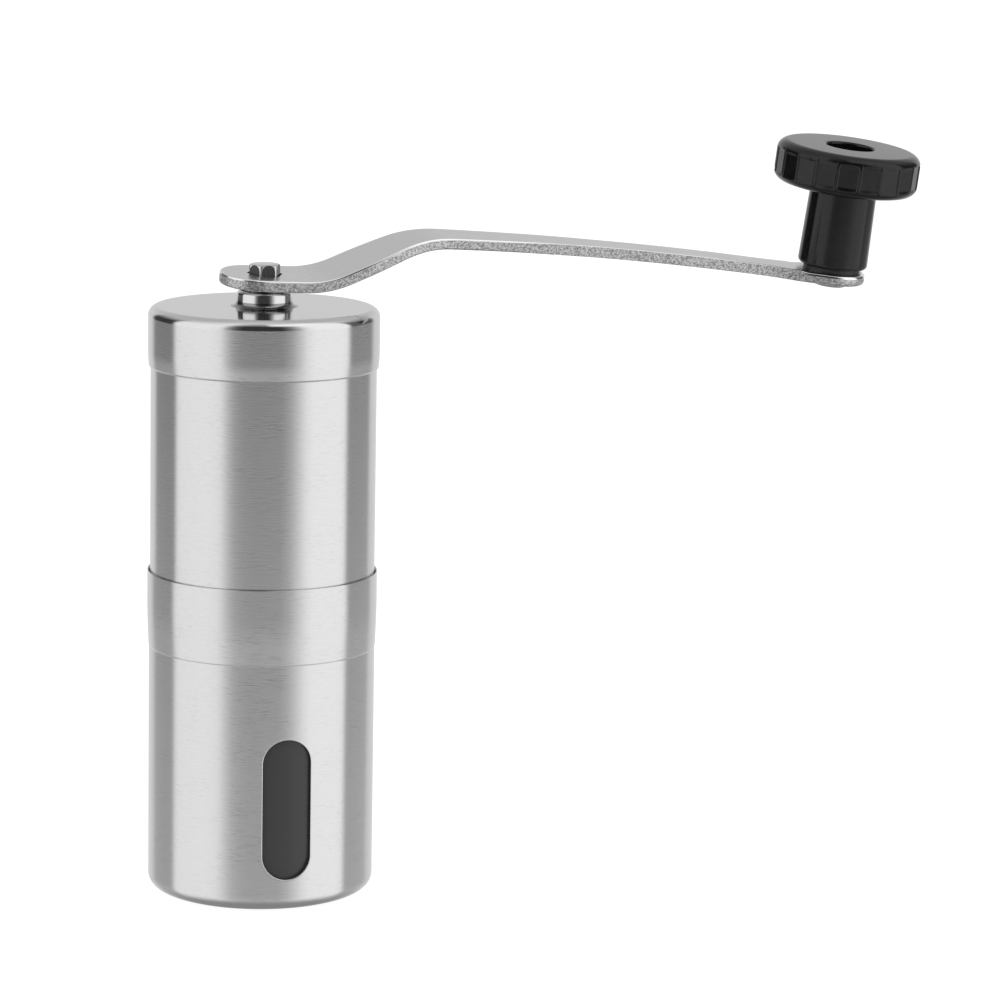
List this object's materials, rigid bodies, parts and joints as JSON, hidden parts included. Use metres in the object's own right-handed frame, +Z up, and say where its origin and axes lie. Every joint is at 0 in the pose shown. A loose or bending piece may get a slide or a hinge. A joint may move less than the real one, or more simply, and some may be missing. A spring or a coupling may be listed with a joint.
{
  "type": "hand crank coffee grinder",
  "caption": "Slim steel hand mill for coffee: a lidded bean tube over a windowed cup, with a ceramic cone mill turned by a bent crank and a black knob.",
  "frame": {"origin": "centre of the flat base, on the axis of the can", "axes": "+Z up along the drive shaft; +X along the crank at rest, from the shaft to the knob; -Y is the front, with the window"},
  "size_m": [0.1678, 0.0476, 0.1555],
  "materials": {
    "brushed_steel": "stainless sheet, brushed round the can",
    "satin_steel": "satin stainless bar with sheared edges",
    "polished_steel": "polished",
    "spring_steel": "drawn wire and stamped spring steel",
    "gloss_black": "glossy moulded black plastic",
    "black_plastic": "moulded black plastic, fine texture",
    "smoky_plastic": "dark smoky clear plastic",
    "burr_ceramic": "fired, unglazed, off-white",
    "brass": "turned",
    "bronze": "sintered bush"
  },
  "bodies": {
    "cup": {"cup_shell": "brushed_steel", "cup_liner": "smoky_plastic"},
    "upper_body": {"upper_tube": "brushed_steel", "burr_housing": "black_plastic", "housing_bush": "bronze", "ring_burr": "burr_ceramic", "burr_collar": "black_plastic"},
    "shaft": {"drive_shaft": "polished_steel", "shaft_clip": "spring_steel", "upper_spring_washer": "spring_steel"},
    "inner_burr": {"burr_spring": "spring_steel", "lower_spring_washer": "spring_steel", "cone_burr": "burr_ceramic", "burr_driver": "black_plastic"},
    "dial": {"adjusting_dial": "black_plastic", "dial_insert": "brass"},
    "lid": {"lid_cap": "brushed_steel", "lid_insert": "black_plastic", "lid_bush": "black_plastic"},
    "crank": {"hub_washer": "polished_steel", "crank_arm": "satin_steel", "knob_washer": "black_plastic", "knob_pin": "polished_steel"},
    "knob": {"knob": "gloss_black"}
  },
  "joints": [
    {"name": "body_lift", "type": "slide", "parent": "cup", "child": "upper_body", "axis": [0, 0, 1], "range_m": [0, 0.03]},
    {"name": "crank_turn", "type": "hinge", "parent": "upper_body", "child": "shaft", "pos_m": [0, 0, 0.1], "axis": [0, 0, 1], "continuous": true},
    {"name": "dial_turn", "type": "hinge", "parent": "inner_burr", "child": "dial", "pos_m": [0, 0, 0.0534], "axis": [0, 0, 1], "range_deg": [-541, 91]},
    {"name": "burr_travel", "type": "slide", "parent": "shaft", "child": "inner_burr", "axis": [0, 0, 1], "range_m": [-0.0012, 0.0002], "deforming": ["burr_spring"]},
    {"name": "crank_lift", "type": "slide", "parent": "shaft", "child": "crank", "axis": [0, 0, 1], "range_m": [0, 0.02]},
    {"name": "lid_lift", "type": "slide", "parent": "upper_body", "child": "lid", "axis": [0, 0, 1], "range_m": [0, 0.02]},
    {"name": "knob_spin", "type": "hinge", "parent": "crank", "child": "knob", "pos_m": [0.12655, -0.00043, 0.12713], "axis": [0.0834, -0.1045, 0.991], "continuous": true}
  ],
  "couplings": [
    {"joint": "dial_turn", "follows": "burr_travel", "rad_per_m": 7854},
    {"joint": "lid_lift", "follows": "crank_lift", "ratio": 1}
  ]
}
